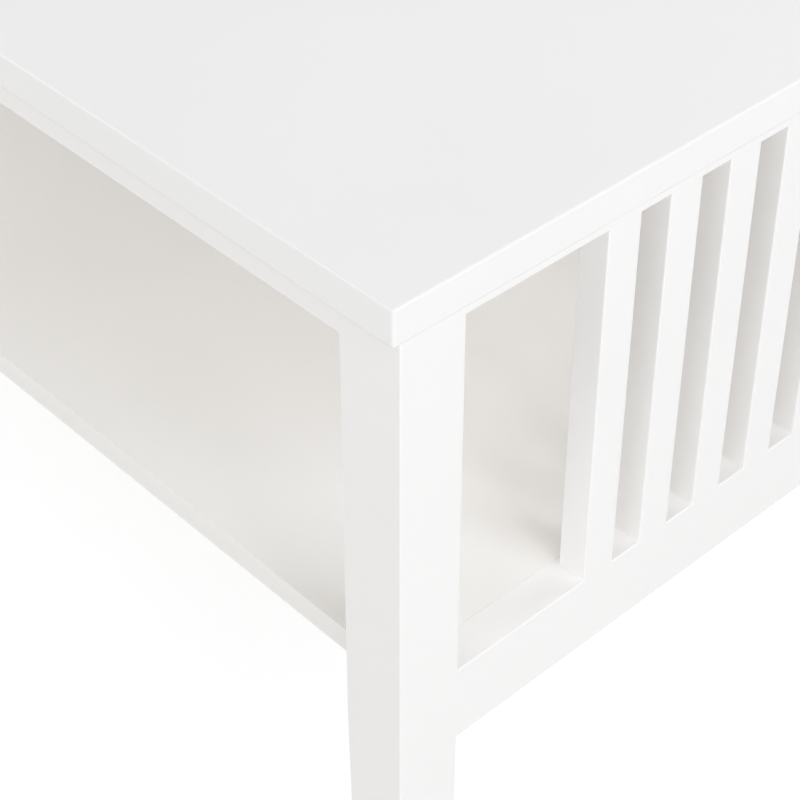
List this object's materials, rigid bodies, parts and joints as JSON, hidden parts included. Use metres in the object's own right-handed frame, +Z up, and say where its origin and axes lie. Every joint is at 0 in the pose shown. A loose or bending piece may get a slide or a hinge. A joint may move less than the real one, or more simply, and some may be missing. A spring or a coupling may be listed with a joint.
{
  "type": "coffee table",
  "caption": "White painted rectangular coffee table with an open shelf, slatted end frames with tenoned rails, and square legs that taper slightly towards the foot.",
  "frame": {"origin": "on the floor, under the middle of the top", "axes": "+X along the length of the table to the right, +Y from the front to the back, +Z up"},
  "size_m": [1.1, 0.603, 0.45],
  "materials": {
    "white_paint_top": "satin white paint on a smooth board",
    "white_paint_frame": "satin white paint on solid wood",
    "white_paint_shelf": "satin white paint on a smooth board",
    "beech_dowel": "plain beech, grooved",
    "zinc_screw": "bright zinc plate",
    "cast_zinc": "dull die cast zinc",
    "glide_plastic": "matte plastic"
  },
  "bodies": {
    "root": {"top_panel": "white_paint_top", "leg_front_right": "white_paint_frame", "leg_front_left": "white_paint_frame", "leg_back_right": "white_paint_frame", "leg_back_left": "white_paint_frame", "front_top_rail": "white_paint_frame", "back_top_rail": "white_paint_frame", "right_top_rail": "white_paint_frame", "left_top_rail": "white_paint_frame", "right_bottom_rail": "white_paint_frame", "left_bottom_rail": "white_paint_frame", "right_slat_1": "white_paint_frame", "right_slat_2": "white_paint_frame", "right_slat_3": "white_paint_frame", "right_slat_4": "white_paint_frame", "right_slat_5": "white_paint_frame", "right_slat_6": "white_paint_frame", "right_slat_7": "white_paint_frame", "right_slat_8": "white_paint_frame", "left_slat_1": "white_paint_frame", "left_slat_2": "white_paint_frame", "left_slat_3": "white_paint_frame", "left_slat_4": "white_paint_frame", "left_slat_5": "white_paint_frame", "left_slat_6": "white_paint_frame", "left_slat_7": "white_paint_frame", "left_slat_8": "white_paint_frame", "right_shelf_cleat": "white_paint_frame", "left_shelf_cleat": "white_paint_frame", "shelf_batten": "white_paint_frame", "shelf_panel": "white_paint_shelf", "glide_front_right": "glide_plastic", "glide_front_left": "glide_plastic", "glide_back_right": "glide_plastic", "glide_back_left": "glide_plastic", "right_slat_dowels": "beech_dowel", "left_slat_dowels": "beech_dowel", "rail_dowels": "beech_dowel", "top_dowels": "beech_dowel", "right_slat_screws": "zinc_screw", "left_slat_screws": "zinc_screw", "tongue_screws": "zinc_screw", "top_screws": "zinc_screw", "cleat_screws": "zinc_screw", "shelf_screws": "zinc_screw", "batten_screws": "zinc_screw", "cam_bolts": "zinc_screw", "cam_nuts": "cast_zinc"}
  },
  "joints": []
}
